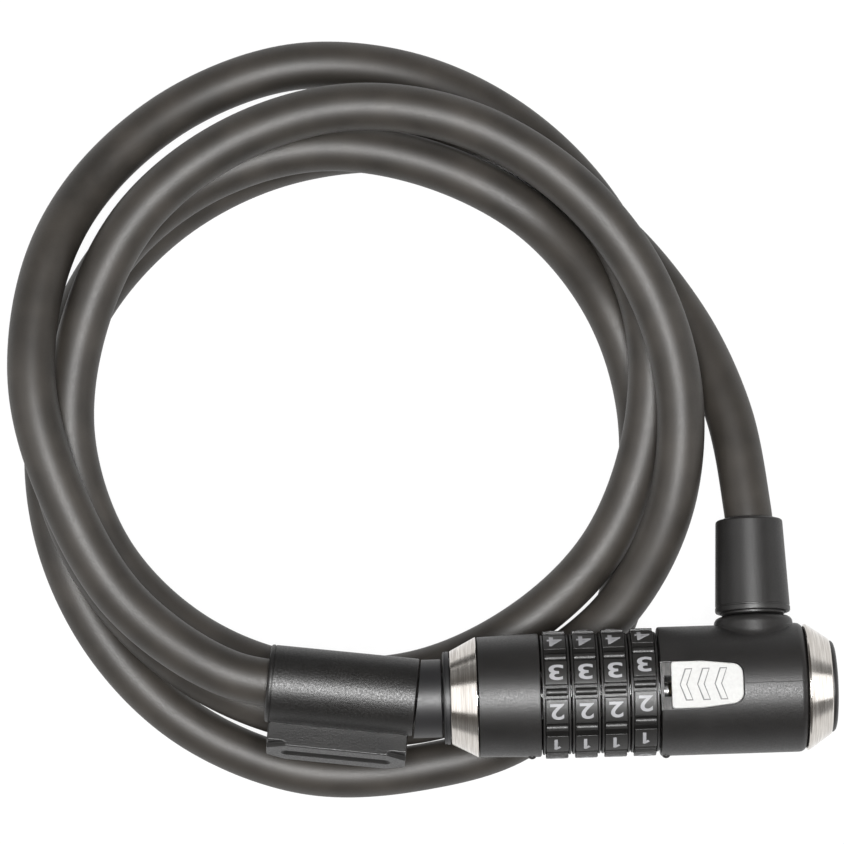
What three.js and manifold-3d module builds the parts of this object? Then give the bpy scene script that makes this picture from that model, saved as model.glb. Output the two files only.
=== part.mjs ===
// Four-dial combination cable lock, plugged shut and lying on its own coiled cable.
// Millimetres. +X runs along the lock body to its end button, +Y is the side the cable
// leaves by, +Z is up. The origin is the middle of the lock body, on the dials' axis.
import * as THREE from 'three';
import * as BufferGeometryUtils from 'three/addons/utils/BufferGeometryUtils.js';
import Module from 'manifold-3d';

const wasm = await Module();
wasm.setup();

// lock body, along X
const bodyRoll = 9; // degrees: the closed lock lies rolled a little towards its cable side
const endX = 49.2;
const housingRadius = 16.1;
const housingStart = 4.6;
const housingEnd = 40.9;
const hollowRadius = 12.6;
const hollowStart = 7;
const barrelStart = -40.5;
const barrelEnd = -25.1;
const barrelRadius = 15.4;
const barrelNarrowRadius = 14.95;
const socketRadius = 11.6;
const gap = 0.3;

// dials and code wheels
const dialCount = 4;
const dialPitch = 7.3;
const dialWidth = 7;
const firstDialX = -21.25;
const padRadius = 15.9;
const rimRadius = 15;
const floorRadius = 14.4;
const ridgeRadius = 15.5;
const padWidth = 5.8;
const dialTurns = [3, 3, 2.5, -2.3]; // degrees each dial sits off its click
const wheelThickness = 4;
const digits = 10;

// core and plug pin
const coreRadius = 6;
const coreBore = 3.4;
const coreStart = -39.5;
const coreEnd = 24;
const pinRadius = 3;
const pinTip = 8;
const finReach = 8.8;
const finWidth = 3;
const finThickness = 2.4;
const keyWidth = 4.4;

// reset slider
const tabStart = 7.1;
const tabLength = 17.7;
const tabWidth = 11.6;
const tabNarrow = 9.2;
const tabTop = 16.3;
const tabBottom = 14.6;
const plateTop = 14.3;
const plateBottom = 13.9;
const recessFloor = 13.6;

// swivel and strain relief, measured out from the lock's axis
const neckX = 29;
const bossRadius = 9.9;
const bossTop = 18;
const spigotRadius = 7.2;
const neckRadius = 8;
const reliefStart = 19;
const reliefEnd = 42.5;
const reliefBaseRadius = 9.4;
const reliefTopRadius = 8.4;

// plug side
const sleeveTurn = -7.4; // degrees: the carrier sleeve sags off the lock's line
const sleeveX = -56;
const sleeveY = 0.4;
const sleeveLength = 37.2;
const sleeveRadius = 9.7;
const sleeveBore = 7.75;
const collarRadius = 9.75;
const footTurn = -20; // degrees the bracket foot is turned up from level
const footWidth = 35;
const footTop = -1.8;
const footThickness = 12.6;
const footReach = 15.2;
const footStep = 1.2;

// cable
const cableRadius = 5.8;
const cableSteps = 80;
const cableRoute = [
  // out of the strain relief, down to the surface and across the top of the coil
  [29, 24.7, -3.9],
  [29, 34.1, -5.4],
  [28.8, 45, -7.8],
  [25.2, 70, -17],
  [14.8, 95, -29],
  [-4.3, 118.4, -31],
  [-30.5, 134, -31],
  [-60, 139.7, -31],
  [-90, 135.8, -31],
  [-116.8, 122.2, -31],
  [-137.4, 100, -31],
  [-148, 72, -31],
  // first turn, lying on the surface and under the lock
  [-146.8, 42.3, -31],
  [-134.8, 14.6, -31],
  [-114, -7, -31],
  [-85.6, -19.4, -31],
  [-55.5, -19.5, -31],
  [-28.2, -10.3, -31],
  [-8, 13.2, -31],
  [2, 41.6, -31],
  [3.6, 71.5, -31],
  // second turn, on top of the first
  [-4.8, 98.7, -28.5],
  [-23.3, 120.9, -18.6],
  [-50, 135.2, -18],
  [-79, 139.5, -18],
  [-108, 131, -18],
  [-131, 112, -18],
  [-144, 85, -18],
  [-145, 55.5, -18.3],
  [-133, 28, -21],
  [-112.5, 7, -24.5],
  [-85.5, -5.5, -28.5],
  [-55.5, -7, -27.5],
  [-28.3, 2.6, -22.2],
  [-4.5, 20.1, -15.8],
  [9.6, 46, -9.4],
  [12.4, 76, -6.5],
  // third turn, over both
  [4, 104.5, -5],
  [-14, 128, -5],
  [-39.5, 144, -5],
  [-69, 148.8, -5.2],
  [-98.2, 141, -5.4],
  [-122.3, 122.9, -5.4],
  [-136.4, 96.4, -5.6],
  [-140.5, 67.5, -5.7],
  [-132, 39, -7.5],
  [-112.5, 17.5, -13],
  [-86, 5.5, -20.5],
  [-56, 5, -22.2],
  [-28.3, 16.8, -20],
  [-6.9, 36.8, -19.6],
  [4.5, 64.8, -18.2],
  [5.3, 94.9, -17.6],
  // last pass, wide round the outside and back up into the plug
  [-6.4, 122.2, -18],
  [-26.5, 144, -22],
  [-52.5, 158, -28.5],
  [-82, 161.5, -31],
  [-110, 152.5, -28],
  [-132.6, 134.3, -19],
  [-145.5, 111, -5.2],
  [-149.2, 82, 4.2],
  [-142.3, 53.8, 6.5],
  [-127.8, 27, 5],
  [-104, 8.5, 1],
  [-78, 3.3, 0],
  [-62, 1.2, 0],
];

const materials = {
  blackPlastic: new THREE.MeshStandardMaterial({ color: 0x2c2b2a, roughness: 0.55 }),
  dialPlastic: new THREE.MeshStandardMaterial({ color: 0x383634, roughness: 0.5 }),
  cablePlastic: new THREE.MeshStandardMaterial({ color: 0x3a3836, roughness: 0.7 }),
  brushedSteel: new THREE.MeshStandardMaterial({ color: 0xb9b6b1, roughness: 0.32, metalness: 1 }),
  hardenedSteel: new THREE.MeshStandardMaterial({ color: 0x9a9997, roughness: 0.4, metalness: 1 }),
  silverPaint: new THREE.MeshStandardMaterial({ color: 0xd6d6d4, roughness: 0.35, metalness: 0.6 }),
  brass: new THREE.MeshStandardMaterial({ color: 0xb89b5a, roughness: 0.4, metalness: 1 }),
};

const radians = THREE.MathUtils.degToRad;

function toSolid(geometry) {
  const bare = geometry.clone();
  bare.deleteAttribute('normal');
  bare.deleteAttribute('uv');
  const merged = BufferGeometryUtils.mergeVertices(bare, 1e-4);
  return new wasm.Manifold(
    new wasm.Mesh({
      numProp: 3,
      vertProperties: Float32Array.from(merged.attributes.position.array),
      triVerts: Uint32Array.from(merged.index.array),
    }),
  );
}

function toGeometry(solid) {
  const mesh = solid.getMesh();
  const geometry = new THREE.BufferGeometry();
  geometry.setAttribute('position', new THREE.BufferAttribute(mesh.vertProperties, 3));
  geometry.setIndex(new THREE.BufferAttribute(mesh.triVerts, 1));
  return geometry;
}

function join(first, ...others) {
  return toGeometry(others.reduce((sum, other) => sum.add(toSolid(other)), toSolid(first)));
}

function cut(first, ...others) {
  return toGeometry(others.reduce((rest, other) => rest.subtract(toSolid(other)), toSolid(first)));
}

// a solid turned about X, from [x, radius] points given in a loop
function turned(points, segments = 40) {
  const loop = points.map(([x, r]) => new THREE.Vector2(r, x));
  const area = THREE.ShapeUtils.area(loop);
  if (area < 0) {
    loop.reverse();
  }
  const start = loop.findIndex((p, i) => p.x < 1e-6 && loop[(i + loop.length - 1) % loop.length].x < 1e-6);
  const ordered = start >= 0 ? [...loop.slice(start), ...loop.slice(0, start)] : [...loop, loop[0].clone()];
  const geometry = new THREE.LatheGeometry(ordered, segments);
  geometry.rotateZ(-Math.PI / 2);
  return geometry;
}

function rod(radius, from, to, segments = 32) {
  const geometry = new THREE.CylinderGeometry(radius, radius, to - from, segments);
  geometry.rotateZ(-Math.PI / 2);
  geometry.translate((from + to) / 2, 0, 0);
  return geometry;
}

function block(x0, x1, y0, y1, z0, z1) {
  const geometry = new THREE.BoxGeometry(x1 - x0, y1 - y0, z1 - z0);
  geometry.translate((x0 + x1) / 2, (y0 + y1) / 2, (z0 + z1) / 2);
  return geometry;
}

// an outline in Y and Z, pulled along X
function pulled(shape, from, to) {
  const geometry = new THREE.ExtrudeGeometry(shape, { depth: to - from, bevelEnabled: false, curveSegments: 8 });
  geometry.rotateY(Math.PI / 2);
  geometry.translate(from, 0, 0);
  return geometry;
}

// an outline in X and Y, raised along Z
function raised(shape, from, to) {
  const geometry = new THREE.ExtrudeGeometry(shape, { depth: to - from, bevelEnabled: false, curveSegments: 6 });
  geometry.translate(0, 0, from);
  return geometry;
}

// a ring outline that steps between two radii, with one high stretch for each digit
function toothedPoints(low, high, halfAngle, arcSteps = 3) {
  const points = [];
  const pitch = 360 / digits;
  for (let k = 0; k < digits; k++) {
    const centre = -90 + k * pitch;
    for (let i = 0; i <= arcSteps; i++) {
      const a = radians(centre - halfAngle + (2 * halfAngle * i) / arcSteps);
      points.push(new THREE.Vector2(high * Math.cos(a), high * Math.sin(a)));
    }
    for (let i = 0; i <= 1; i++) {
      const a = radians(centre + halfAngle + 1 + (pitch - 2 * halfAngle - 2) * i);
      points.push(new THREE.Vector2(low * Math.cos(a), low * Math.sin(a)));
    }
  }
  return points;
}

function helix(radius, turns, from, to) {
  const points = [];
  const steps = Math.round(turns * 10);
  for (let i = 0; i <= steps; i++) {
    const a = (i / 10) * Math.PI * 2;
    points.push(new THREE.Vector3(from + ((to - from) * i) / steps, radius * Math.cos(a), radius * Math.sin(a)));
  }
  return new THREE.CatmullRomCurve3(points);
}

function wire(curve, radius, steps, sides) {
  const section = new THREE.Shape();
  for (let i = 0; i < sides; i++) {
    const a = (i / sides) * Math.PI * 2;
    section[i ? 'lineTo' : 'moveTo'](radius * Math.cos(a), radius * Math.sin(a));
  }
  section.closePath();
  return new THREE.ExtrudeGeometry(section, { steps, extrudePath: curve, bevelEnabled: false });
}

function piece(parent, name, geometry, material) {
  const mesh = new THREE.Mesh(geometry, material);
  mesh.name = name;
  parent.add(mesh);
  return mesh;
}

function tabOutline(margin, extraLeft) {
  const left = tabStart - margin - extraLeft;
  const right = tabStart + tabLength + margin;
  const wide = tabWidth / 2 + margin;
  const narrow = tabNarrow / 2 + margin;
  const shape = new THREE.Shape();
  shape.moveTo(left, -wide);
  shape.lineTo(tabStart + tabLength * 0.35, -wide);
  shape.lineTo(right - 3, -narrow - 0.4);
  shape.quadraticCurveTo(right, -narrow, right, -narrow + 2.6);
  shape.lineTo(right, narrow - 2.6);
  shape.quadraticCurveTo(right, narrow, right - 3, narrow + 0.4);
  shape.lineTo(tabStart + tabLength * 0.35, wide);
  shape.lineTo(left, wide);
  shape.closePath();
  return shape;
}

function stadium(halfLength, halfWidth) {
  const shape = new THREE.Shape();
  const flat = halfLength - halfWidth;
  shape.absarc(flat, 0, halfWidth, -Math.PI / 2, Math.PI / 2);
  shape.absarc(-flat, 0, halfWidth, Math.PI / 2, (3 * Math.PI) / 2);
  shape.closePath();
  return shape;
}

// points along the swivel's own axis, which stands on +Y
function turnedOnNeck(points, segments = 26) {
  const geometry = turned(points, segments);
  geometry.rotateZ(Math.PI / 2);
  geometry.translate(neckX, 0, 0);
  return geometry;
}

function mainHousing() {
  const shell = turned([
    [housingStart, 9.4],
    [housingStart, housingRadius - 0.4],
    [housingStart + 0.4, housingRadius],
    [housingEnd - 1.6, housingRadius],
    [housingEnd - 0.5, housingRadius - 0.4],
    [housingEnd, housingRadius - 1.1],
    [housingEnd, hollowRadius],
    [hollowStart, hollowRadius],
    [hollowStart, 9.4],
  ], 44);
  const bore = turnedOnNeck([
    [8, 0],
    [8, spigotRadius + gap],
    [bossTop + 1, spigotRadius + gap],
    [bossTop + 1, 0],
  ]);
  const indexPip = new THREE.SphereGeometry(0.9, 8, 6);
  indexPip.translate(housingStart + 1.3, -housingRadius, 0);
  const recess = raised(tabOutline(gap, tabStart - housingStart + 0.5), recessFloor, 18);
  const stemSlot = block(5.4, 15, -2.6, 2.6, 9, 15);
  return cut(join(shell, indexPip), bore, recess, stemSlot);
}

// the raised collar round the cable's outlet, seated on the housing by its spigot
function swivelSaddle() {
  const collar = turnedOnNeck([
    [11, 0],
    [11, bossRadius],
    [bossTop - 0.9, bossRadius],
    [bossTop, bossRadius - 0.9],
    [bossTop, 0],
  ]);
  const spigot = turnedOnNeck([
    [13, 0],
    [13, spigotRadius],
    [17, spigotRadius],
    [17, 0],
  ]);
  const bore = turnedOnNeck([
    [8, 0],
    [8, 5.3],
    [bossTop + 1, 5.3],
    [bossTop + 1, 0],
  ]);
  return cut(join(cut(collar, rod(housingRadius + gap, 0, 60, 44)), spigot), bore);
}

function numberDial(centreX) {
  const half = dialWidth / 2;
  const body = turned([
    [centreX - half, 13],
    [centreX - half, rimRadius],
    [centreX - padWidth / 2, rimRadius],
    [centreX - padWidth / 2, floorRadius],
    [centreX + padWidth / 2, floorRadius],
    [centreX + padWidth / 2, rimRadius],
    [centreX + half, rimRadius],
    [centreX + half, 13],
  ], 30);
  const pads = new THREE.Shape(toothedPoints(13.6, padRadius, 11, 2));
  const ridges = new THREE.Shape(toothedPoints(13.6, ridgeRadius, 3.4, 1));
  const padRing = pulled(pads, centreX - padWidth / 2, centreX + padWidth / 2);
  const ridgeRing = pulled(ridges, centreX - padWidth / 2, centreX + padWidth / 2);
  ridgeRing.rotateX(radians(180 / digits));
  const innerRing = rod(13.4, centreX - half, centreX + half, 30);
  const bore = pulled(new THREE.Shape(toothedPoints(11.9, 12.7, 6, 1)), centreX - half - 1, centreX + half + 1);
  return cut(join(innerRing, body, padRing, ridgeRing), bore);
}

function codeWheel(centreX) {
  const half = wheelThickness / 2;
  const wheel = pulled(new THREE.Shape(toothedPoints(11.5, 12.3, 4.4, 1)), centreX - half, centreX + half);
  const bore = rod(coreRadius + gap, centreX - half - 1, centreX + half + 1);
  const notch = block(centreX - half - 1, centreX + half + 1, -keyWidth / 2, keyWidth / 2, 0, finReach + 0.5);
  return cut(wheel, bore, notch);
}

function coreTube() {
  const tube = turned([
    [coreStart, coreBore],
    [coreStart, coreRadius],
    [coreEnd, coreRadius],
    [coreEnd, coreBore],
  ], 24);
  const slot = block(coreStart - 1, pinTip + 1, -finWidth / 2 - gap, finWidth / 2 + gap, 0, 8);
  return cut(tube, slot);
}

function frontHousing() {
  const barrel = turned([
    [barrelStart, coreRadius + gap],
    [barrelStart, barrelNarrowRadius],
    [barrelEnd - 0.4, barrelRadius],
    [barrelEnd, barrelRadius - 0.4],
    [barrelEnd, 10],
    [barrelEnd - 4, 10],
    [barrelEnd - 4, coreRadius + gap],
  ], 36);
  const indexPip = new THREE.SphereGeometry(0.9, 8, 6);
  indexPip.translate(barrelEnd - 2.4, -barrelRadius, 0);
  const keyway = block(barrelStart - 1, barrelEnd, -keyWidth / 2, keyWidth / 2, 0, finReach + 0.4);
  return cut(join(barrel, indexPip), keyway);
}

function socketBush() {
  const bush = turned([
    [-endX, 6.6],
    [-endX, socketRadius - 0.4],
    [-endX + 0.3, socketRadius],
    [-endX + 1.1, socketRadius],
    [-endX + 1.1, 9.9],
    [barrelStart - gap, 9.9],
    [barrelStart - gap, 6.6],
  ], 30);
  const keyway = block(-endX - 1, barrelStart + 1, -keyWidth / 2, keyWidth / 2, 0, finReach + 0.4);
  return cut(bush, keyway);
}

function plugPin() {
  const bar = turned([
    [-54, 0],
    [-54, 5],
    [-51.5, 5],
    [-51.5, pinRadius],
    [pinTip - 1, pinRadius],
    [pinTip, pinRadius - 1],
    [pinTip, 0],
  ], 24);
  const fins = [];
  for (let i = 0; i < dialCount; i++) {
    const x = firstDialX + (i + 0.5) * dialPitch;
    fins.push(block(x - finThickness / 2, x + finThickness / 2, -finWidth / 2, finWidth / 2, 1, finReach));
  }
  return join(bar, ...fins);
}

function plugCollar() {
  const collar = turned([
    [-60, 5.3],
    [-60, collarRadius],
    [-endX - gap, collarRadius],
    [-endX - gap, 6.2],
    [-41.6, 6.2],
    [-41.6, pinRadius + gap],
    [-51.2, pinRadius + gap],
    [-51.2, 5.3],
  ], 30);
  const slant = block(-20, gap, -20, 20, -20, 20);
  slant.rotateZ(radians(sleeveTurn));
  slant.translate(sleeveX, sleeveY, 0);
  return cut(collar, slant);
}

// the steel guide the slider runs over, slotted for its stem
function slidePlate() {
  return cut(
    raised(tabOutline(0, 2.2), plateBottom, plateTop),
    block(4, 16, -2.7, 2.7, plateBottom - 1, plateTop + 1),
  );
}

function sliderTab() {
  const plate = raised(tabOutline(0, 0), tabBottom, tabTop);
  const stem = block(11.5, 14.5, -2.2, 2.2, 9.9, tabBottom + 0.5);
  const grips = [];
  for (let i = 0; i < 3; i++) {
    const x = tabStart + 3.6 + i * 4.3;
    const chevron = new THREE.Shape();
    chevron.moveTo(x, 0);
    chevron.lineTo(x + 1.4, 3.8);
    chevron.lineTo(x + 3, 3.8);
    chevron.lineTo(x + 1.6, 0);
    chevron.lineTo(x + 3, -3.8);
    chevron.lineTo(x + 1.4, -3.8);
    chevron.closePath();
    grips.push(raised(chevron, tabTop - 0.3, tabTop + 1));
  }
  return cut(join(plate, stem), ...grips);
}

function resetCollar() {
  const ring = turned([
    [10.5, coreRadius + gap],
    [10.5, 12],
    [15.5, 12],
    [15.5, coreRadius + gap],
  ], 36);
  return cut(ring, block(11.2, 14.8, -2.6, 2.6, 9.5, 13));
}

function coreNut() {
  const hexagon = new THREE.Shape();
  for (let i = 0; i < 6; i++) {
    const a = (i / 6) * Math.PI * 2;
    hexagon[i ? 'lineTo' : 'moveTo'](9 * Math.cos(a), 9 * Math.sin(a));
  }
  hexagon.closePath();
  return cut(pulled(hexagon, 20.4, 23.4), rod(coreRadius + gap, 19, 25));
}

function swivelClip() {
  const ring = turnedOnNeck([
    [9.7, 4.4],
    [9.7, 6.2],
    [10.5, 6.2],
    [10.5, 4.4],
  ]);
  return cut(ring, block(neckX + 1, neckX + 8, 9, 11, -2.2, 2.2));
}

function carrierSleeve() {
  const shell = turned([
    [-sleeveLength, sleeveBore],
    [-sleeveLength, sleeveRadius - 0.4],
    [-sleeveLength + 0.4, sleeveRadius],
    [-sleeveLength + 1, sleeveRadius],
    [-sleeveLength + 1.1, sleeveRadius - 0.15],
    [-sleeveLength + 1.3, sleeveRadius - 0.15],
    [-sleeveLength + 1.4, sleeveRadius],
    [-0.3, sleeveRadius],
    [0, sleeveRadius - 0.3],
    [0, sleeveBore],
  ], 36);
  const left = -sleeveLength + 1.1;
  const middle = left + footWidth / 2;
  const bottom = footTop - footThickness;
  const side = new THREE.Shape();
  side.moveTo(-footTop, -footReach + footStep);
  side.lineTo(-bottom, -footReach + footStep);
  side.lineTo(-bottom, -11.5);
  side.lineTo(8.2, -4.5);
  side.lineTo(-footTop, -3);
  side.closePath();
  const web = pulled(side, left, left + footWidth);
  const halfWidth = footWidth / 2;
  const halfHeight = footThickness / 2;
  const octagon = new THREE.Shape();
  octagon.moveTo(-halfWidth, -halfHeight + 3.1);
  octagon.lineTo(-halfWidth + 4.7, -halfHeight);
  octagon.lineTo(halfWidth - 4.7, -halfHeight);
  octagon.lineTo(halfWidth, -halfHeight + 3.1);
  octagon.lineTo(halfWidth, halfHeight - 3.1);
  octagon.lineTo(halfWidth - 4.7, halfHeight);
  octagon.lineTo(-halfWidth + 4.7, halfHeight);
  octagon.lineTo(-halfWidth, halfHeight - 3.1);
  octagon.closePath();
  const face = raised(octagon, footReach - footStep - 0.5, footReach);
  const groove = raised(stadium(13.9, 2), footReach - 1, footReach + 1);
  for (const part of [face, groove]) {
    part.rotateX(Math.PI / 2);
    part.translate(middle, 0, footTop - halfHeight);
  }
  const foot = cut(join(web, face), groove, rod(sleeveRadius - 0.8, left - 5, 5));
  foot.rotateX(radians(footTurn));
  return join(shell, foot);
}

function plugFerrule() {
  return turned([
    [-0.6, 0],
    [-0.6, 6.6],
    [-1.4, 7.4],
    [-17, 7.4],
    [-17, cableRadius + 0.6],
    [-5.6, cableRadius + 0.6],
    [-5.6, 0],
  ], 24);
}

function buildLock() {
  const group = new THREE.Group();
  const lock = new THREE.Group();
  lock.rotation.x = radians(-bodyRoll);
  group.add(lock);

  piece(lock, 'main_housing', mainHousing(), materials.blackPlastic);
  piece(lock, 'rear_steel_ring', turned([
    [housingEnd + gap, 15],
    [housingEnd + gap + 0.3, 15.7],
    [41.9, 15.7],
    [47.2, 11.9],
    [47.2, 8.6],
    [36.5, 8.6],
    [36.5, hollowRadius - gap],
    [housingEnd + gap, hollowRadius - gap],
  ], 36), materials.brushedSteel);
  piece(lock, 'end_button', turned([
    [37, 0],
    [37, 8.2],
    [47.5, 8.2],
    [47.5, 11.2],
    [48.5, 11],
    [endX, 9.8],
    [endX, 0],
  ], 32), materials.blackPlastic);
  piece(lock, 'core_tube', coreTube(), materials.hardenedSteel);
  piece(lock, 'core_nut', coreNut(), materials.hardenedSteel);
  piece(lock, 'front_housing', frontHousing(), materials.blackPlastic);
  piece(lock, 'front_steel_ring', turned([
    [-endX + 1.8, 10.2],
    [-endX + 1.8, socketRadius],
    [barrelStart - gap - 0.3, barrelNarrowRadius],
    [barrelStart - gap, barrelNarrowRadius - 0.3],
    [barrelStart - gap, 10.2],
  ], 36), materials.brushedSteel);
  piece(lock, 'socket_bush', socketBush(), materials.blackPlastic);

  for (let i = 0; i < dialCount; i++) {
    const x = firstDialX + i * dialPitch;
    const dial = piece(lock, `number_dial_${i + 1}`, numberDial(x), materials.dialPlastic);
    dial.rotation.x = radians(dialTurns[i]);
    const wheel = piece(lock, `code_wheel_${i + 1}`, codeWheel(x), materials.brass);
    wheel.rotation.x = radians(dialTurns[i]);
  }

  piece(lock, 'slide_plate', slidePlate(), materials.hardenedSteel);
  piece(lock, 'slider_tab', sliderTab(), materials.silverPaint);
  piece(lock, 'reset_collar', resetCollar(), materials.hardenedSteel);
  piece(lock, 'reset_spring', wire(helix(7.6, 3, 16.4, 19.6), 0.5, 30, 5), materials.hardenedSteel);
  piece(lock, 'ejector_plunger', turned([
    [pinTip + 0.4, 0],
    [pinTip + 0.4, 3],
    [pinTip + 2.4, 3],
    [pinTip + 2.4, 0],
  ], 20), materials.brass);
  piece(lock, 'ejector_spring', wire(helix(2.4, 4, 11.2, 20), 0.4, 36, 5), materials.hardenedSteel);
  piece(lock, 'spring_seat', turned([
    [20.8, 0],
    [20.8, 3.05],
    [24, 3.05],
    [24, 0],
  ], 20), materials.hardenedSteel);

  piece(lock, 'swivel_saddle', swivelSaddle(), materials.blackPlastic);
  piece(lock, 'swivel_neck', turnedOnNeck([
    [8.8, 0],
    [8.8, 4.6],
    [9.2, 5],
    [9.4, 5],
    [9.4, 4.1],
    [10.8, 4.1],
    [10.8, 5],
    [bossTop + gap, 5],
    [bossTop + gap, neckRadius],
    [22.2, neckRadius],
    [22.2, 0],
  ]), materials.blackPlastic);
  piece(lock, 'swivel_clip', swivelClip(), materials.hardenedSteel);
  piece(lock, 'strain_relief_sleeve', turnedOnNeck([
    [reliefStart, 8.3],
    [reliefStart, 9],
    [reliefStart + 0.4, reliefBaseRadius],
    [reliefStart + 1.4, reliefBaseRadius],
    [reliefStart + 1.7, reliefBaseRadius - 0.2],
    [reliefEnd - 0.8, reliefTopRadius],
    [reliefEnd, reliefTopRadius - 0.6],
    [reliefEnd, 7],
    [33.4, 7],
    [33.4, 7.95],
    [22.5, 7.95],
    [22.5, 8.3],
  ], 30), materials.blackPlastic);
  piece(lock, 'cable_ferrule', turnedOnNeck([
    [22.6, 0],
    [22.6, 7.6],
    [33, 7.6],
    [33, cableRadius + 0.8],
    [24.7, cableRadius + 0.8],
    [24.7, 0],
  ]), materials.hardenedSteel);

  piece(lock, 'plug_pin', plugPin(), materials.hardenedSteel);
  piece(group, 'plug_collar', plugCollar(), materials.blackPlastic);

  const carrier = new THREE.Group();
  carrier.position.set(sleeveX, sleeveY, 0);
  carrier.rotation.z = radians(sleeveTurn);
  group.add(carrier);
  piece(carrier, 'carrier_sleeve', carrierSleeve(), materials.blackPlastic);
  piece(carrier, 'plug_ferrule', plugFerrule(), materials.hardenedSteel);

  const route = new THREE.CatmullRomCurve3(
    cableRoute.map(([x, y, z]) => new THREE.Vector3(x, y, z)),
    false,
    'catmullrom',
    0.5,
  );
  route.arcLengthDivisions = 2000;
  piece(group, 'cable', wire(route, cableRadius, cableSteps, 10), materials.cablePlastic);
  return group;
}

const group = buildLock();

export default group;
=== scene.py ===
import math

import bpy
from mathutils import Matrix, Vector


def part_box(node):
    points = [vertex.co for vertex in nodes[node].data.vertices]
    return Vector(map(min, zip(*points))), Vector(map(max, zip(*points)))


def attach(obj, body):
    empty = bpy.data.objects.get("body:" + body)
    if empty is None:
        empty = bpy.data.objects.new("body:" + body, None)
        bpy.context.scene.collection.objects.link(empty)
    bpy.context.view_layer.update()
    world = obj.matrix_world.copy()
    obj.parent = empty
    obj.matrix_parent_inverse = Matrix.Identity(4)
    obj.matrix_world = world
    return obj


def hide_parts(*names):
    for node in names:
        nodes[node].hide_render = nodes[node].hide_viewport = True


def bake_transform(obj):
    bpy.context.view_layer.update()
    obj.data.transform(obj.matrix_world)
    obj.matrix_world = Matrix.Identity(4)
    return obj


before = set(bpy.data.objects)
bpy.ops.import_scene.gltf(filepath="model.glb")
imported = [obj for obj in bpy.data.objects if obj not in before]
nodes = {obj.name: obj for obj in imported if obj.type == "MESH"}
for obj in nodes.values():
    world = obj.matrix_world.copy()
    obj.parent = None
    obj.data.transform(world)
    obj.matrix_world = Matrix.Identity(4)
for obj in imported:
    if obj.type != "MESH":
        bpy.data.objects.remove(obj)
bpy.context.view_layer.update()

mm = 0.001
bodyRoll = -9  # the closed lock lies rolled a little towards its cable side
neckX = 29  # the cable's outlet, along the lock

# camera straight above the coil, in millimetres
camera = {"place": (-52.35, 69.2, 1096), "turn": -1.8, "lens": 187, "sensor": 36}

bpy.ops.object.select_all(action="DESELECT")
bpy.ops.object.camera_add(
    location=[v * mm for v in camera["place"]],
    rotation=(0, 0, math.radians(camera["turn"])),
)
eye = bpy.context.object
eye.name = "overheadCamera"
eye.data.lens = camera["lens"]
eye.data.sensor_width = camera["sensor"]
eye.data.clip_start = 0.05
eye.data.clip_end = 50
bpy.context.scene.camera = eye
print("camera placed")

# cable: one length of 12 mm jacketed strand, in millimetres along its middle
cable = {"diameter": 12, "sides": 32, "step": 2, "length": 1.9, "free": 250, "held": 45}
cableRoute = [
    # out of the strain relief, down to the floor and across the top of the coil
    (29, 24.7, -3.9),
    (29, 34.1, -5.4),
    (28.8, 45, -7.8),
    (25.2, 70, -17),
    (14.8, 95, -29),
    (-4.3, 118.4, -31),
    (-30.5, 134, -31),
    (-60, 139.7, -31),
    (-90, 135.8, -31),
    (-116.8, 122.2, -31),
    (-137.4, 100, -31),
    (-148, 72, -31),
    # first turn, on the floor and under the lock
    (-146.8, 42.3, -31),
    (-134.8, 14.6, -31),
    (-114, -7, -31),
    (-85.6, -19.4, -31),
    (-55.5, -19.5, -31),
    (-27.5, -11.1, -31),
    (-7, 12.3, -31),
    (2, 41.6, -31),
    (3.6, 71.5, -31),
    # second turn, on top of the first
    (-4.8, 98.7, -28.5),
    (-23.3, 120.9, -18.6),
    (-50, 135.2, -18),
    (-79, 139.5, -18),
    (-108, 131, -18),
    (-131, 112, -18),
    (-144, 85, -18),
    (-145, 55.5, -18.3),
    (-133, 28, -21),
    (-112.5, 7, -24.5),
    (-85.5, -5.5, -28.5),
    (-55.5, -7, -27.5),
    (-28.3, 2.6, -22.9),
    (-4.5, 20.2, -16.6),
    (9.6, 46, -9.4),
    (12.4, 76, -6.5),
    # third turn, over both
    (4, 104.5, -5),
    (-14, 128, -5),
    (-39.5, 144, -5),
    (-69, 148.8, -5.2),
    (-98.2, 141, -5.4),
    (-122.3, 122.9, -5.4),
    (-136.4, 96.4, -5.6),
    (-140.5, 67.5, -5.7),
    (-132, 39, -7.5),
    (-112.5, 17.5, -13),
    (-86, 5.5, -20.5),
    (-56, 5, -22.2),
    (-28.3, 16.8, -20),
    (-6.9, 36.8, -19.6),
    (4.5, 64.8, -18.2),
    (5.3, 94.9, -17.6),
    # last pass, wide round the outside and back up into the plug
    (-6.4, 122.2, -18),
    (-26.5, 144, -22),
    (-52.5, 158, -28.5),
    (-82, 161.5, -31),
    (-110, 152.5, -28),
    (-132.6, 134.3, -19),
    (-145.5, 111, -5.2),
    (-149.2, 82, 4.2),
    (-142.3, 53.8, 6.5),
    (-127.8, 27, 5),
    (-104, 8.5, 1),
    (-78, 3.3, 0),
    (-62, 1.2, 0),
]


def smoothLine(points, perSpan=24):
    knots = [Vector(p) * mm for p in points]
    knots = [knots[0] * 2 - knots[1]] + knots + [knots[-1] * 2 - knots[-2]]
    line = []
    for a, b, c, d in zip(knots, knots[1:], knots[2:], knots[3:]):
        for k in range(perSpan):
            t = k / perSpan
            line.append(
                (b * 2 + (c - a) * t + (a * 2 - b * 5 + c * 4 - d) * t * t
                 + (b * 3 - a - c * 3 + d) * t ** 3) / 2
            )
    line.append(knots[-2])
    return line


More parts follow.
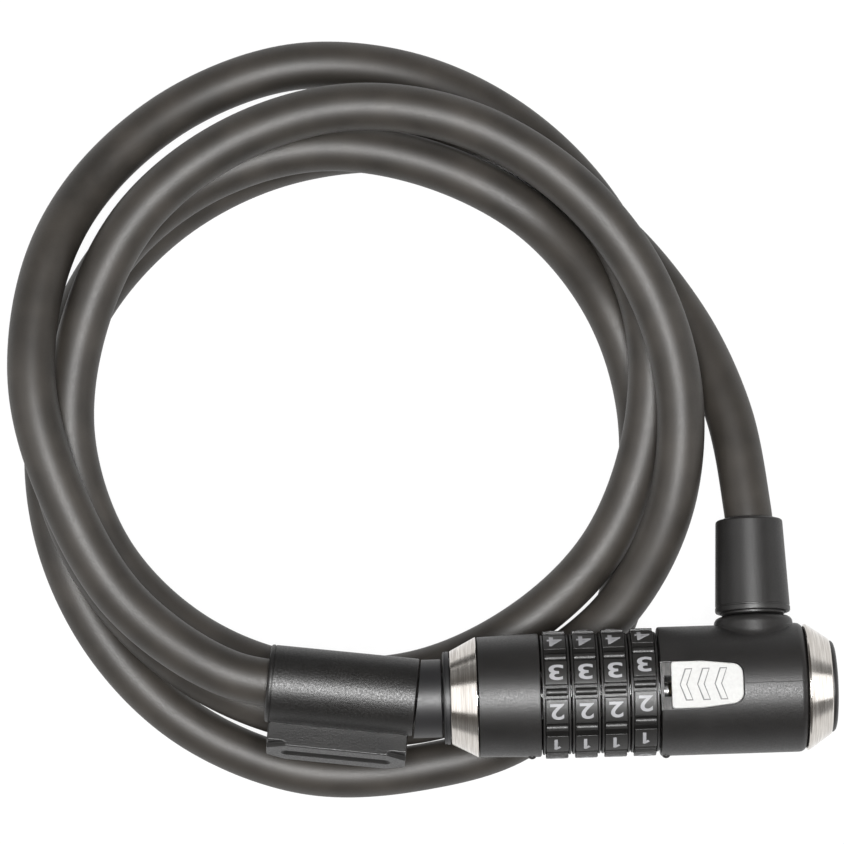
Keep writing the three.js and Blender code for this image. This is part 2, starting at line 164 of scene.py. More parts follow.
def evenSteps(line, step):
    lengths = [0]
    for a, b in zip(line, line[1:]):
        lengths.append(lengths[-1] + (b - a).length)
    count = round(lengths[-1] / step)
    spaced, at = [], 0
    for i in range(count + 1):
        want = lengths[-1] * i / count
        while at < len(line) - 2 and lengths[at + 1] < want:
            at += 1
        share = (want - lengths[at]) / (lengths[at + 1] - lengths[at])
        spaced.append(line[at].lerp(line[at + 1], share))
    return spaced


def sweptTube(name, centres, radius, sides):
    ahead = [(b - a).normalized() for a, b in zip(centres, centres[1:])]
    ahead.append(ahead[-1])
    side = ahead[0].cross(Vector((1, 0, 0))).normalized()
    points, faces = [], []
    for i, centre in enumerate(centres):
        if i:
            side = (ahead[i - 1].rotation_difference(ahead[i]) @ side).normalized()
        up = ahead[i].cross(side)
        for k in range(sides):
            a = 2 * math.pi * k / sides
            points.append(centre + (side * math.cos(a) + up * math.sin(a)) * radius)
    for i in range(len(centres) - 1):
        for k in range(sides):
            n = (k + 1) % sides
            faces.append((i * sides + k, i * sides + n, (i + 1) * sides + n, (i + 1) * sides + k))
    faces.append(tuple(reversed(range(sides))))
    faces.append(tuple(range((len(centres) - 1) * sides, len(centres) * sides)))
    mesh = bpy.data.meshes.new(name)
    mesh.from_pydata(points, [], faces)
    tube = bpy.data.objects.new(name, mesh)
    bpy.context.scene.collection.objects.link(tube)
    return tube


cablePath = evenSteps(smoothLine(cableRoute), cable["step"] * mm)
cableJacket = sweptTube("cable_jacket", cablePath, cable["diameter"] / 2 * mm, cable["sides"])
print("cable laid,", len(cablePath), "rings")


# modelling helpers, all in millimetres
def clearSelection():
    if bpy.context.mode != "OBJECT":
        bpy.ops.object.mode_set(mode="OBJECT")
    bpy.ops.object.select_all(action="DESELECT")


def pick(piece):
    clearSelection()
    piece.select_set(True)
    bpy.context.view_layer.objects.active = piece


def applyPlace(piece):
    pick(piece)
    bpy.ops.object.transform_apply(location=True, rotation=True, scale=True)


def fresh(name):
    piece = bpy.context.object
    piece.name = name
    piece.data.name = name
    applyPlace(piece)
    return piece


def editing(piece, mode="VERT"):
    pick(piece)
    bpy.ops.object.mode_set(mode="EDIT")
    bpy.ops.mesh.select_mode(type=mode)
    bpy.ops.mesh.select_all(action="DESELECT")


def choosePoints(piece, test):
    # picks vertices by their place, in millimetres, from edit mode
    bpy.ops.mesh.select_mode(type="VERT")
    bpy.ops.mesh.select_all(action="DESELECT")
    bpy.ops.object.mode_set(mode="OBJECT")
    for v in piece.data.vertices:
        v.select = test(v.co / mm)
    bpy.ops.object.mode_set(mode="EDIT")


def chooseEdges(piece, test):
    # picks edges by the places of their two ends
    bpy.ops.mesh.select_mode(type="EDGE")
    bpy.ops.mesh.select_all(action="DESELECT")
    bpy.ops.object.mode_set(mode="OBJECT")
    spots = [v.co / mm for v in piece.data.vertices]
    for e in piece.data.edges:
        e.select = test(spots[e.vertices[0]], spots[e.vertices[1]])
    bpy.ops.object.mode_set(mode="EDIT")


def chooseFaces(piece, test):
    # picks faces by their middle and their normal
    bpy.ops.mesh.select_mode(type="FACE")
    bpy.ops.mesh.select_all(action="DESELECT")
    bpy.ops.object.mode_set(mode="OBJECT")
    for f in piece.data.polygons:
        f.select = test(f.center / mm, f.normal)
    bpy.ops.object.mode_set(mode="EDIT")


def applyModifier(piece, kind, **values):
    modifier = piece.modifiers.new(kind.title(), kind)
    for key, value in values.items():
        setattr(modifier, key, value)
    pick(piece)
    bpy.ops.object.modifier_apply(modifier=modifier.name)


def softenEdges(piece, width, segments=3, angle=32):
    applyModifier(piece, "BEVEL", width=width * mm, segments=segments, limit_method="ANGLE",
                  angle_limit=math.radians(angle), miter_outer="MITER_ARC")


def cutWith(piece, cutter, operation="DIFFERENCE"):
    applyModifier(piece, "BOOLEAN", object=cutter, operation=operation, solver="EXACT")
    bpy.data.objects.remove(cutter)


def faceOutwards(piece):
    editing(piece)
    bpy.ops.mesh.select_all(action="SELECT")
    bpy.ops.mesh.remove_doubles(threshold=0.0005 * mm)
    bpy.ops.mesh.normals_make_consistent(inside=False)
    bpy.ops.object.mode_set(mode="OBJECT")


def smoothShade(piece, angle=34):
    pick(piece)
    bpy.ops.object.shade_smooth_by_angle(angle=math.radians(angle))
    applyModifier(piece, "WEIGHTED_NORMAL", keep_sharp=True, weight=80)


def turnedPiece(name, profile, sides=96, ring=True):
    # a circle about X, extruded and scaled from each [x, radius] to the next
    x, r = profile[0]
    clearSelection()
    bpy.ops.mesh.primitive_circle_add(
        vertices=sides, radius=r * mm, location=(x * mm, 0, 0), rotation=(0, math.pi / 2, 0)
    )
    piece = fresh(name)
    editing(piece)
    bpy.ops.mesh.select_all(action="SELECT")
    for nextX, nextR in profile[1:]:
        bpy.ops.mesh.extrude_region_move(
            TRANSFORM_OT_translate={"value": ((nextX - x) * mm, 0, 0)}
        )
        if nextR != r:
            bpy.ops.transform.resize(
                value=(1, nextR / r, nextR / r), center_override=(nextX * mm, 0, 0)
            )
        x, r = nextX, nextR
    bpy.ops.mesh.select_all(action="DESELECT")
    bpy.ops.mesh.select_non_manifold()
    if ring:
        bpy.ops.mesh.bridge_edge_loops()
    else:
        bpy.ops.mesh.fill_holes(sides=0)
    bpy.ops.object.mode_set(mode="OBJECT")
    faceOutwards(piece)
    return piece


def block(name, x0, x1, y0, y1, z0, z1):
    clearSelection()
    bpy.ops.mesh.primitive_cube_add(
        size=1,
        location=((x0 + x1) / 2 * mm, (y0 + y1) / 2 * mm, (z0 + z1) / 2 * mm),
        scale=((x1 - x0) * mm, (y1 - y0) * mm, (z1 - z0) * mm),
    )
    return fresh(name)


def rod(name, radius, start, end, sides=48, axis="X"):
    middle = (start + end) / 2 * mm
    spot, turn = {
        "X": ((middle, 0, 0), (0, math.pi / 2, 0)),
        "Y": ((0, middle, 0), (math.pi / 2, 0, 0)),
    }[axis]
    clearSelection()
    bpy.ops.mesh.primitive_cylinder_add(
        vertices=sides, radius=radius * mm, depth=(end - start) * mm, location=spot, rotation=turn
    )
    return fresh(name)


def joined(name, pieces):
    clearSelection()
    for p in pieces:
        p.select_set(True)
    bpy.context.view_layer.objects.active = pieces[0]
    bpy.ops.object.join()
    pieces[0].name = name
    pieces[0].data.name = name
    return pieces[0]


def copyOf(piece, name):
    twin = piece.copy()
    twin.data = piece.data.copy()
    twin.name = name
    twin.data.name = name
    bpy.context.scene.collection.objects.link(twin)
    return twin


def turnOnX(piece, degrees, x=0):
    piece.location = (x * mm, 0, 0)
    piece.rotation_euler = (math.radians(degrees), 0, 0)
    applyPlace(piece)


def seatOnLock(piece):
    turnOnX(piece, bodyRoll)


def seatOnNeck(piece):
    # the swivel's own axis stands on the lock's side
    piece.location = (neckX * mm, 0, 0)
    piece.rotation_euler = (0, 0, math.pi / 2)
    applyPlace(piece)
    seatOnLock(piece)


def dress(piece, material, body, slotName, *stands):
    piece.data.materials.clear()
    piece.data.materials.append(material)
    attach(piece, body)
    if stands:
        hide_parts(*stands)


# materials
def newMaterial(name):
    material = bpy.data.materials.new(name)
    material.use_nodes = True
    tree = material.node_tree
    return material, tree.nodes, tree.links, tree.nodes["Principled BSDF"]


def noise(shades, links, place, size, detail=3, stretch=None):
    # size is the width of one fleck in millimetres
    texture = shades.new("ShaderNodeTexNoise")
    texture.inputs["Scale"].default_value = 1000 / size
    texture.inputs["Detail"].default_value = detail
    source = place.outputs["Object"]
    if stretch:
        mapping = shades.new("ShaderNodeMapping")
        mapping.inputs["Scale"].default_value = stretch
        links.new(source, mapping.inputs["Vector"])
        source = mapping.outputs["Vector"]
    links.new(source, texture.inputs["Vector"])
    return texture.outputs["Fac"]


def tones(shades, links, source, stops):
    ramp = shades.new("ShaderNodeValToRGB")
    ramp.color_ramp.elements[0].position = stops[0][0]
    ramp.color_ramp.elements[0].color = (*stops[0][1], 1)
    ramp.color_ramp.elements[1].position = stops[-1][0]
    ramp.color_ramp.elements[1].color = (*stops[-1][1], 1)
    for at, colour in stops[1:-1]:
        ramp.color_ramp.elements.new(at).color = (*colour, 1)
    links.new(source, ramp.inputs["Fac"])
    return ramp.outputs["Color"]


def spread(shades, links, source, low, high):
    span = shades.new("ShaderNodeMapRange")
    span.inputs["From Min"].default_value = 0.3
    span.inputs["From Max"].default_value = 0.7
    span.inputs["To Min"].default_value = low
    span.inputs["To Max"].default_value = high
    links.new(source, span.inputs["Value"])
    return span.outputs["Result"]


def raisedGrain(shades, links, source, depth, under=None):
    bump = shades.new("ShaderNodeBump")
    bump.inputs["Strength"].default_value = 1
    bump.inputs["Distance"].default_value = depth * mm
    links.new(source, bump.inputs["Height"])
    if under:
        links.new(under, bump.inputs["Normal"])
    return bump.outputs["Normal"]


def mouldedPlastic(name, dark, light, rough, grain, depth, cloud=9):
    material, shades, links, shader = newMaterial(name)
    place = shades.new("ShaderNodeTexCoord")
    fleck = noise(shades, links, place, grain, 4)
    patch = noise(shades, links, place, cloud, 3)
    links.new(tones(shades, links, patch, [(0.3, dark), (0.7, light)]), shader.inputs["Base Color"])
    links.new(spread(shades, links, fleck, rough[0], rough[1]), shader.inputs["Roughness"])
    coarse = raisedGrain(shades, links, patch, depth * 0.8)
    links.new(raisedGrain(shades, links, fleck, depth, coarse), shader.inputs["Normal"])
    return material


def brushedMetal(name, dark, light, rough, streak, along, metallic=1.0, anisotropy=0.5):
    # streaks run round X, so the pattern is fine along X and long across it
    material, shades, links, shader = newMaterial(name)
    place = shades.new("ShaderNodeTexCoord")
    line = noise(shades, links, place, streak, 5, along)
    broad = noise(shades, links, place, streak * 9, 2, along)
    links.new(tones(shades, links, line, [(0.32, dark), (0.68, light)]), shader.inputs["Base Color"])
    links.new(spread(shades, links, broad, rough[0], rough[1]), shader.inputs["Roughness"])
    links.new(raisedGrain(shades, links, line, 0.012), shader.inputs["Normal"])
    shader.inputs["Metallic"].default_value = metallic
    shader.inputs["Anisotropic"].default_value = anisotropy
    shader.inputs["Anisotropic Rotation"].default_value = 0.25
    tangent = shades.new("ShaderNodeTangent")
    tangent.direction_type = "RADIAL"
    tangent.axis = "X"
    links.new(tangent.outputs["Tangent"], shader.inputs["Tangent"])
    return material


blackPlastic = mouldedPlastic(
    "satinBlackPlastic", (0.0050, 0.0046, 0.0044), (0.0085, 0.0078, 0.0075),
    (0.36, 0.56), 0.34, 0.026,
)
darkPlastic = mouldedPlastic(
    "smoothDarkPlastic", (0.007, 0.007, 0.0077), (0.011, 0.0106, 0.0114),
    (0.42, 0.52), 0.3, 0.006,
)
carrierPlastic = mouldedPlastic(
    "sparklingCarrierPlastic", (0.0036, 0.0034, 0.0032), (0.0075, 0.007, 0.0066),
    (0.34, 0.54), 0.46, 0.05,
)
dialPlastic = mouldedPlastic(
    "satinDialPlastic", (0.0055, 0.0051, 0.0048), (0.010, 0.0094, 0.009),
    (0.38, 0.54), 0.34, 0.026,
)
jacketVinyl = mouldedPlastic(
    "mattJacketVinyl", (0.0150, 0.0128, 0.0104), (0.0290, 0.0250, 0.0208),
    (0.47, 0.57), 0.5, 0.008, 11,
)
digitPaint = mouldedPlastic(
    "paleDigitPaint", (0.20, 0.20, 0.21), (0.26, 0.26, 0.27),
    (0.45, 0.6), 0.4, 0.006,
)
trimSteel = brushedMetal(
    "brushedTrimSteel", (0.46, 0.43, 0.40), (0.70, 0.67, 0.63),
    (0.14, 0.24), 0.35, (1, 0.04, 0.04),
)
lockSteel = brushedMetal(
    "plainLockSteel", (0.40, 0.40, 0.40), (0.55, 0.55, 0.54),
    (0.28, 0.42), 0.5, (1, 0.2, 0.2),
)
plateSteel = brushedMetal(
    "darkPlateSteel", (0.020, 0.020, 0.020), (0.045, 0.044, 0.043),
    (0.3, 0.44), 0.5, (1, 0.2, 0.2),
)
wheelBrass = brushedMetal(
    "machinedBrass", (0.52, 0.38, 0.17), (0.68, 0.52, 0.26),
    (0.28, 0.4), 0.4, (1, 0.15, 0.15),
)
sliderSilver = brushedMetal(
    "silverSliderPaint", (0.345, 0.345, 0.338), (0.375, 0.375, 0.368),
    (0.5, 0.58), 0.8, (1, 1, 1), 0.0, 0.0,
)
# dark grey paint for the arrow grooves' floors: painted shade, standing in for the shadow inside the grooves
grooveShadePaint = mouldedPlastic(
    "paintedGrooveShade", (0.10, 0.10, 0.10), (0.14, 0.14, 0.14),
    (0.5, 0.6), 0.4, 0.004,
)
print("materials mixed")

# main housing, hollow, with the slider's recess, its stem's slot and the bore for the cable's neck
housing = {
    "profile": [
        (4.6, 9.4), (4.6, 15.75), (4.75, 16.0), (5.1, 16.1), (39.2, 16.1), (39.9, 15.98),
        (40.5, 15.6), (40.85, 15.1), (40.9, 14.6), (40.9, 12.6), (7, 12.6), (7, 9.4),
    ],
    "sides": 144,
    "recessFloor": 13.6,
    "recessTop": 18,
    "recessCorner": 2.4,
    "recess": (3.5, 25.1, 6.1, 4.9),
    "slot": (5.4, 15, 2.6),
    "seam": (25.3, 40.2, 0.09),
}


def sliderOutline(name, left, right, halfLeft, halfRight, low, high, corner):
    piece = block(name, left, right, -halfLeft, halfLeft, low, high)
    middle = left + (right - left) * 0.42
    editing(piece)
    for x in (middle, right - (right - left) * 0.16):
        bpy.ops.mesh.select_all(action="SELECT")
        bpy.ops.mesh.bisect(plane_co=(x * mm, 0, 0), plane_no=(1, 0, 0))
    choosePoints(piece, lambda p: p.x > right - 0.01)
    bpy.ops.transform.resize(value=(1, halfRight / halfLeft, 1), center_override=(right * mm, 0, 0))
    choosePoints(piece, lambda p: middle + 1 < p.x < right - 0.01)
    share = (halfRight + 0.35 * (halfLeft - halfRight)) / halfLeft
    bpy.ops.transform.resize(value=(1, share, 1), center_override=(right * mm, 0, 0))
    if corner:
        chooseEdges(piece, lambda a, b: min(a.x, b.x) > right - 0.01 and abs(a.z - b.z) > 0.3)
        bpy.ops.mesh.bevel(offset=corner * mm, segments=7)
        chooseEdges(piece, lambda a, b: max(a.x, b.x) < left + 0.01 and abs(a.z - b.z) > 0.3)
        bpy.ops.mesh.bevel(offset=corner * 0.32 * mm, segments=4)
    bpy.ops.object.mode_set(mode="OBJECT")
    return piece


mainShell = turnedPiece("housing_shell", housing["profile"], housing["sides"])
left, right, halfLeft, halfRight = housing["recess"]
cutWith(mainShell, sliderOutline(
    "cutRecess", left, right, halfLeft, halfRight,
    housing["recessFloor"], housing["recessTop"], housing["recessCorner"],
))
slotStart, slotEnd, slotHalf = housing["slot"]
cutWith(mainShell, block("cutSlot", slotStart, slotEnd, -slotHalf, slotHalf, 9, 15))
bore = rod("cutBore", 7.5, 8, 19, 48, "Y")
bore.location = (neckX * mm, 0, 0)
applyPlace(bore)
cutWith(mainShell, bore)
faceOutwards(mainShell)
smoothShade(mainShell)
seatOnLock(mainShell)
dress(mainShell, blackPlastic, "lock_body", "housing", "main_housing")

# the mould's parting line, a fine raised bead along the top
seamStart, seamEnd, seamHeight = housing["seam"]
seam = rod("housing_parting_line", seamHeight, seamStart, seamEnd, 12)
softenEdges(seam, 0.03, 2)
smoothShade(seam)
seam.location = (0, 0, 16.08 * mm)
applyPlace(seam)
seatOnLock(seam)
dress(seam, blackPlastic, "lock_body", "housing")


def indexPip(name, x, radius):
    clearSelection()
    bpy.ops.mesh.primitive_uv_sphere_add(
        segments=24, ring_count=12, radius=0.85 * mm, location=(x * mm, -radius * mm, 0)
    )
    pip = fresh(name)
    editing(pip)
    bpy.ops.mesh.select_all(action="SELECT")
    bpy.ops.transform.resize(value=(1.15, 0.8, 1), center_override=(x * mm, -radius * mm, 0))
    bpy.ops.object.mode_set(mode="OBJECT")
    smoothShade(pip)
    seatOnLock(pip)
    dress(pip, blackPlastic, "lock_body", "housing")


indexPip("housing_index_pip", 5.9, 16.05)
indexPip("barrel_index_pip", -27.5, 15.3)
print("main housing built")

# steel rings and the rubber end button
endPieces = {
    "rearRing": [
        (41.0, 15.2), (41.25, 15.68), (41.7, 15.75), (47.1, 12.05), (47.4, 11.75), (47.2, 11.45),
        (46.6, 11.35), (46.6, 8.6), (36.5, 8.6), (36.5, 12.3), (41.0, 12.3),
    ],
    "button": [
        (37, 8.2), (46.9, 8.2), (46.9, 11.2), (47.5, 11.45), (48.05, 11.3), (48.45, 10.8), (48.7, 10.0),
        (48.93, 8.2), (49.08, 6), (49.17, 3.5), (49.2, 1.2),
    ],
    "frontRing": [
        (-47.4, 10.2), (-47.4, 11.62), (-47.2, 11.75), (-40.95, 15.0), (-40.8, 14.95), (-40.8, 10.2),
    ],
    "bush": [
        (-49.2, 6.6), (-49.2, 11.1), (-49.0, 11.5), (-48.75, 11.55), (-48.7, 11.35), (-48.55, 11.35),
        (-48.5, 11.6), (-47.7, 11.6), (-47.7, 9.9), (-40.8, 9.9), (-40.8, 6.6),
    ],
    "barrel": [
        (-40.5, 6.3), (-40.5, 14.75), (-40.35, 14.95), (-25.6, 15.4), (-25.25, 15.3), (-25.1, 15.0),
        (-25.1, 10), (-29.1, 10), (-29.1, 6.3),
    ],
}

rearRing = turnedPiece("rear_ring_brushed", endPieces["rearRing"], 128)
softenEdges(rearRing, 0.07, 2, 40)
smoothShade(rearRing)
seatOnLock(rearRing)
dress(rearRing, trimSteel, "lock_body", "trim_steel", "rear_steel_ring")

button = turnedPiece("end_button_domed", endPieces["button"], 96, ring=False)
smoothShade(button, 44)
seatOnLock(button)
dress(button, blackPlastic, "lock_body", "housing", "end_button")

frontRing = turnedPiece("front_ring_brushed", endPieces["frontRing"], 128)
softenEdges(frontRing, 0.07, 2, 24)
smoothShade(frontRing)
seatOnLock(frontRing)
dress(frontRing, trimSteel, "lock_body", "trim_steel", "front_steel_ring")

keyway = {"half": 2.2, "top": 9.25}


def keyCutter(start, end):
    return block("cutKeyway", start, end, -keyway["half"], keyway["half"], 0, keyway["top"])


bush = turnedPiece("socket_bush_ring", endPieces["bush"], 96)
cutWith(bush, keyCutter(-50.5, -40))
smoothShade(bush)
seatOnLock(bush)
dress(bush, darkPlastic, "lock_body", "housing", "socket_bush")

barrel = turnedPiece("front_barrel", endPieces["barrel"], 128)
cutWith(barrel, keyCutter(-42, -25))
smoothShade(barrel)
seatOnLock(barrel)
dress(barrel, blackPlastic, "lock_body", "housing", "front_housing")
print("end pieces built")

# number dials: one drum with ten digit pads and ten grip ridges, copied four times
dial = {
    "turns": [-6, -6, -6.5, -11.3],  # each dial's own roll from upright
    "drum": [
        (-3.5, 12.9), (-3.5, 14.75), (-3.35, 14.95), (-3.0, 14.95), (-2.9, 14.8), (-2.9, 13.9),
        (2.9, 13.9), (2.9, 14.8), (3.0, 14.95), (3.35, 14.95), (3.5, 14.75), (3.5, 12.9),
    ],
    "pad": (5.5, 11.2, 13.4, 15.9),
    "ridge": (5.3, 0.95, 14.6),
    "digitHeight": 4.05,
    "digitWidths": [3.5, 1.7, 3.5, 3.6, 3.7, 3.5, 3.5, 3.4, 3.5, 3.5],
    "digitProud": 0.05,
    "digitBold": 0.018,
}


def digitPad():
    wide, halfAngle, low, high = dial["pad"]
    halfArc = high * math.radians(halfAngle)
    pad = block("pad", -wide / 2, wide / 2, -halfArc, halfArc, low, high)
    editing(pad)
    cuts = 9
    for k in range(1, cuts):
        bpy.ops.mesh.select_all(action="SELECT")
        bpy.ops.mesh.bisect(plane_co=(0, halfArc * (2 * k / cuts - 1) * mm, 0), plane_no=(0, 1, 0))
    bpy.ops.object.mode_set(mode="OBJECT")
    for v in pad.data.vertices:  # wraps the flat pad round the drum
        p = v.co / mm
        a = p.y / high
        v.co = Vector((p.x, p.z * math.sin(a), p.z * math.cos(a))) * mm
    softenEdges(pad, 0.16, 3, 40)
    return pad


def gripRidge():
    wide, radius, height = dial["ridge"]
    ridge = rod("ridge", radius, -wide / 2, wide / 2, 24)
    ridge.location = (0, 0, height * mm)
    applyPlace(ridge)
    softenEdges(ridge, 0.15, 2, 50)
    return ridge


def spunCopies(source, count, firstAngle, name):
    copies = []
    for k in range(count):
        twin = copyOf(source, name)
        turnOnX(twin, firstAngle + k * 360 / count)
        copies.append(twin)
    bpy.data.objects.remove(source)
    return joined(name, copies)


def digitShape(k):
    # flat, face up, 0.4 mm thick
    if k == 1:
        bar = block("bar", -0.42, 0.42, 0, 4, 0, 0.4)
        flag = block("flag", -0.36, 0.36, -0.75, 0.9, 0, 0.4)
        flag.location = (-0.5 * mm, 3.35 * mm, 0)
        flag.rotation_euler = (0, 0, math.radians(-52))
        applyPlace(flag)
        cutWith(bar, flag, "UNION")
        return bar
    clearSelection()
    bpy.ops.object.text_add()
    text = bpy.context.object
    text.data.body = str(k)
    text.data.size = 5.6 * mm
    text.data.offset = dial["digitBold"] * 5.6 * mm
    text.data.resolution_u = 6
    bpy.ops.object.convert(target="MESH")
    shape = bpy.context.object
    editing(shape)
    bpy.ops.mesh.select_all(action="SELECT")
    bpy.ops.mesh.extrude_region_move(TRANSFORM_OT_translate={"value": (0, 0, 0.4 * mm)})
    bpy.ops.object.mode_set(mode="OBJECT")
    return shape


def digitSet():
    digits = []
    for k in range(10):
        digit = digitShape(k)
        low = Vector([min(v.co[i] for v in digit.data.vertices) for i in range(3)])
        high = Vector([max(v.co[i] for v in digit.data.vertices) for i in range(3)])
        middle = (low + high) / 2
        tall = dial["digitHeight"] / (high.y - low.y)
        wide = dial["digitWidths"][k] / (high.x - low.x)
        editing(digit)
        for j in range(1, 8):
            bpy.ops.mesh.select_all(action="SELECT")
            bpy.ops.mesh.bisect(plane_co=(0, low.y + (high.y - low.y) * j / 8, 0), plane_no=(0, 1, 0))
        bpy.ops.mesh.select_all(action="SELECT")
        bpy.ops.mesh.remove_doubles(threshold=0.0001 * mm)
        bpy.ops.mesh.normals_make_consistent(inside=False)
        bpy.ops.object.mode_set(mode="OBJECT")
        turn = math.radians(90 - 36 * k)
        padTop = dial["pad"][3]
        for v in digit.data.vertices:  # tops point to the underside, digits climb the other way
            across = (v.co.x - middle.x) * wide
            a = turn + (v.co.y - middle.y) * tall / padTop
            r = padTop + (dial["digitProud"] if v.co.z > 0.2 * mm else -0.15)
            v.co = Vector((-across, -r * math.sin(a), r * math.cos(a))) * mm
        digits.append(digit)
    whole = joined("digits", digits)
    pick(whole)
    bpy.ops.object.shade_smooth_by_angle(angle=math.radians(30))
    return whole


drum = turnedPiece("drum", dial["drum"], 120)
pads = spunCopies(digitPad(), 10, -18, "pads")
ridges = spunCopies(gripRidge(), 10, 0, "ridges")
cutWith(drum, pads, "UNION")
cutWith(drum, ridges, "UNION")
faceOutwards(drum)
smoothShade(drum)
digits = digitSet()
for i in range(4):
    low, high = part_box(f"number_dial_{i + 1}")
    x = (low.x + high.x) / 2 / mm
    ringCopy = copyOf(drum, f"dial_{i + 1}_drum")
    turnOnX(ringCopy, dial["turns"][i], x)
    dress(ringCopy, dialPlastic, f"dial_{i + 1}", "dial", f"number_dial_{i + 1}")
    printCopy = copyOf(digits, f"dial_{i + 1}_digits")
    turnOnX(printCopy, dial["turns"][i], x)
    dress(printCopy, digitPaint, f"dial_{i + 1}", "dial")
bpy.data.objects.remove(drum)
bpy.data.objects.remove(digits)
print("dials built")

# reset slider: a silver tab with three arrow outlines cut as grooves, dark paint in their floors standing in for
# the shade inside them, over a slotted steel plate
slider = {
    "outline": (7.1, 24.8, 5.8, 4.6),
    "bottom": 14.6,
    "top": 16.3,
    "corner": 2.3,
    "arrowFirst": 10.0,
    "arrowPitch": 4.3,
    "arrowReach": 3.85,
    "arrowBand": 1.6,
    "arrowLean": 1.4,
    "arrowDepth": 0.4,
    "line": 0.15,
    "plate": (4.9, 24.8, 5.8, 4.6, 13.9, 14.3, 2.1),
    "plateSlot": (4, 16, 2.7),
}


def arrow(name, x, grow, low, high):
    # two leaning arms meeting at a tip that points to the dials
    band = slider["arrowBand"] / 2 + grow
    reach = slider["arrowReach"] + grow
    lean = slider["arrowLean"]
    piece = block(name, x - band, x + band, 0, reach, low, high)
    editing(piece)
    choosePoints(piece, lambda p: p.y > 0.1)
    bpy.ops.transform.translate(value=(lean * mm, 0, 0))
    chooseFaces(piece, lambda c, n: abs(c.y) < 0.01)
    bpy.ops.mesh.extrude_region_move(TRANSFORM_OT_translate={"value": (lean * mm, -reach * mm, 0)})
    bpy.ops.mesh.select_all(action="SELECT")
    bpy.ops.mesh.normals_make_consistent(inside=False)
    bpy.ops.object.mode_set(mode="OBJECT")
    return piece


tabLeft, tabRight, tabHalf, tabNarrow = slider["outline"]
tab = sliderOutline(
    "slider_tab_silver", tabLeft, tabRight, tabHalf, tabNarrow,
    slider["bottom"], slider["top"], slider["corner"],
)
softenEdges(tab, 0.28, 4, 40)
grooveShades = []
for k in range(3):
    x = slider["arrowFirst"] + k * slider["arrowPitch"]
    cutWith(tab, arrow("cutArrow", x, slider["line"], slider["top"] - slider["arrowDepth"], 18))
    fill = arrow("fillArrow", x, -slider["line"], slider["top"] - 1, slider["top"] - 0.02)
    cutWith(tab, fill, "UNION")
    # a dark strip in the floor of each arrow groove: painted shade where the groove's walls would shade it
    line = arrow("line", x, slider["line"] - 0.01, slider["top"] - 0.42, slider["top"] - 0.14)
    cutWith(line, arrow("cutLine", x, 0.01 - slider["line"], slider["top"] - 1, slider["top"] + 1))
    grooveShades.append(line)
faceOutwards(tab)
smoothShade(tab)
seatOnLock(tab)
dress(tab, sliderSilver, "reset_slider", "slider_silver", "slider_tab")

# the dark groove strips, painted shade, ride with the slider
arrowLines = joined("slider_arrow_painted_shade", grooveShades)
faceOutwards(arrowLines)
seatOnLock(arrowLines)
dress(arrowLines, grooveShadePaint, "reset_slider", "slider_silver")

plate = sliderOutline("slide_plate_steel", *slider["plate"])
slotStart, slotEnd, slotHalf = slider["plateSlot"]
cutWith(plate, block("cutPlateSlot", slotStart, slotEnd, -slotHalf, slotHalf, 13, 15))
softenEdges(plate, 0.08, 2, 40)
smoothShade(plate)
seatOnLock(plate)
dress(plate, plateSteel, "lock_body", "lock_steel", "slide_plate")

stem = block("slider_stem_steel", 11.5, 14.5, -2.2, 2.2, 9.9, 14.7)
softenEdges(stem, 0.2, 2, 40)
smoothShade(stem)
seatOnLock(stem)
dress(stem, lockSteel, "reset_slider", "lock_steel")
print("slider built")

# swivel saddle, neck and strain relief, turned about the outlet's own axis
outlet = {
    "saddleCrown": [(16.0, 9.9), (16.9, 9.75), (17.5, 9.35), (17.85, 8.8), (18.0, 8.1), (18.0, 5.3)],
    "neck": [
        (8.8, 4.6), (9.2, 5), (9.4, 5), (9.4, 4.1), (10.8, 4.1), (10.8, 5), (18.3, 5), (18.3, 7.6),
        (18.6, 7.95), (19.2, 8.0), (22.2, 8.0),
    ],
    "relief": [
        (19.0, 8.3), (19.0, 8.95), (19.15, 9.25), (19.45, 9.4), (20.35, 9.4), (20.5, 9.24), (20.7, 9.24),
        (20.85, 9.34), (41.8, 8.42), (42.15, 8.3), (42.38, 8.0), (42.45, 7.6), (42.45, 7.0), (42.6, 6.95),
        (42.75, 6.75), (42.75, 6.35), (33.4, 6.35), (33.4, 7.95), (22.5, 7.95), (22.5, 8.3),
    ],
}

saddle = turnedPiece(
    "swivel_saddle_collar",
    [(11, 5.3), (11, 10.7), (12, 10.35), (13, 10.1), (14.2, 9.93)] + outlet["saddleCrown"],
    96,
)
for v in saddle.data.vertices:  # the skirt follows the housing's round side, flaring where it meets it
    p = v.co / mm
    r = math.hypot(p.y, p.z)
    if p.x < 15 and r > 9.8:
        side = math.sqrt(max(0, 16.1 ** 2 - min(abs(p.z), 16) ** 2))
        lift = {11: -0.4, 12: 0.12, 13: 0.55, 14: 1.2}[int(p.x + 0.01)]
        v.co.x = min(15.5, side + lift) * mm
softenEdges(saddle, 0.15, 2, 50)
faceOutwards(saddle)
smoothShade(saddle, 40)
seatOnNeck(saddle)
dress(saddle, blackPlastic, "lock_body", "housing", "swivel_saddle")

neck = turnedPiece("swivel_neck_collar", outlet["neck"], 72, ring=False)
smoothShade(neck)
seatOnNeck(neck)
dress(neck, blackPlastic, "cable_swivel", "housing", "swivel_neck")

relief = turnedPiece("strain_relief", outlet["relief"], 96)
smoothShade(relief)
seatOnNeck(relief)
dress(relief, blackPlastic, "cable_swivel", "housing", "strain_relief_sleeve")
print("outlet built")

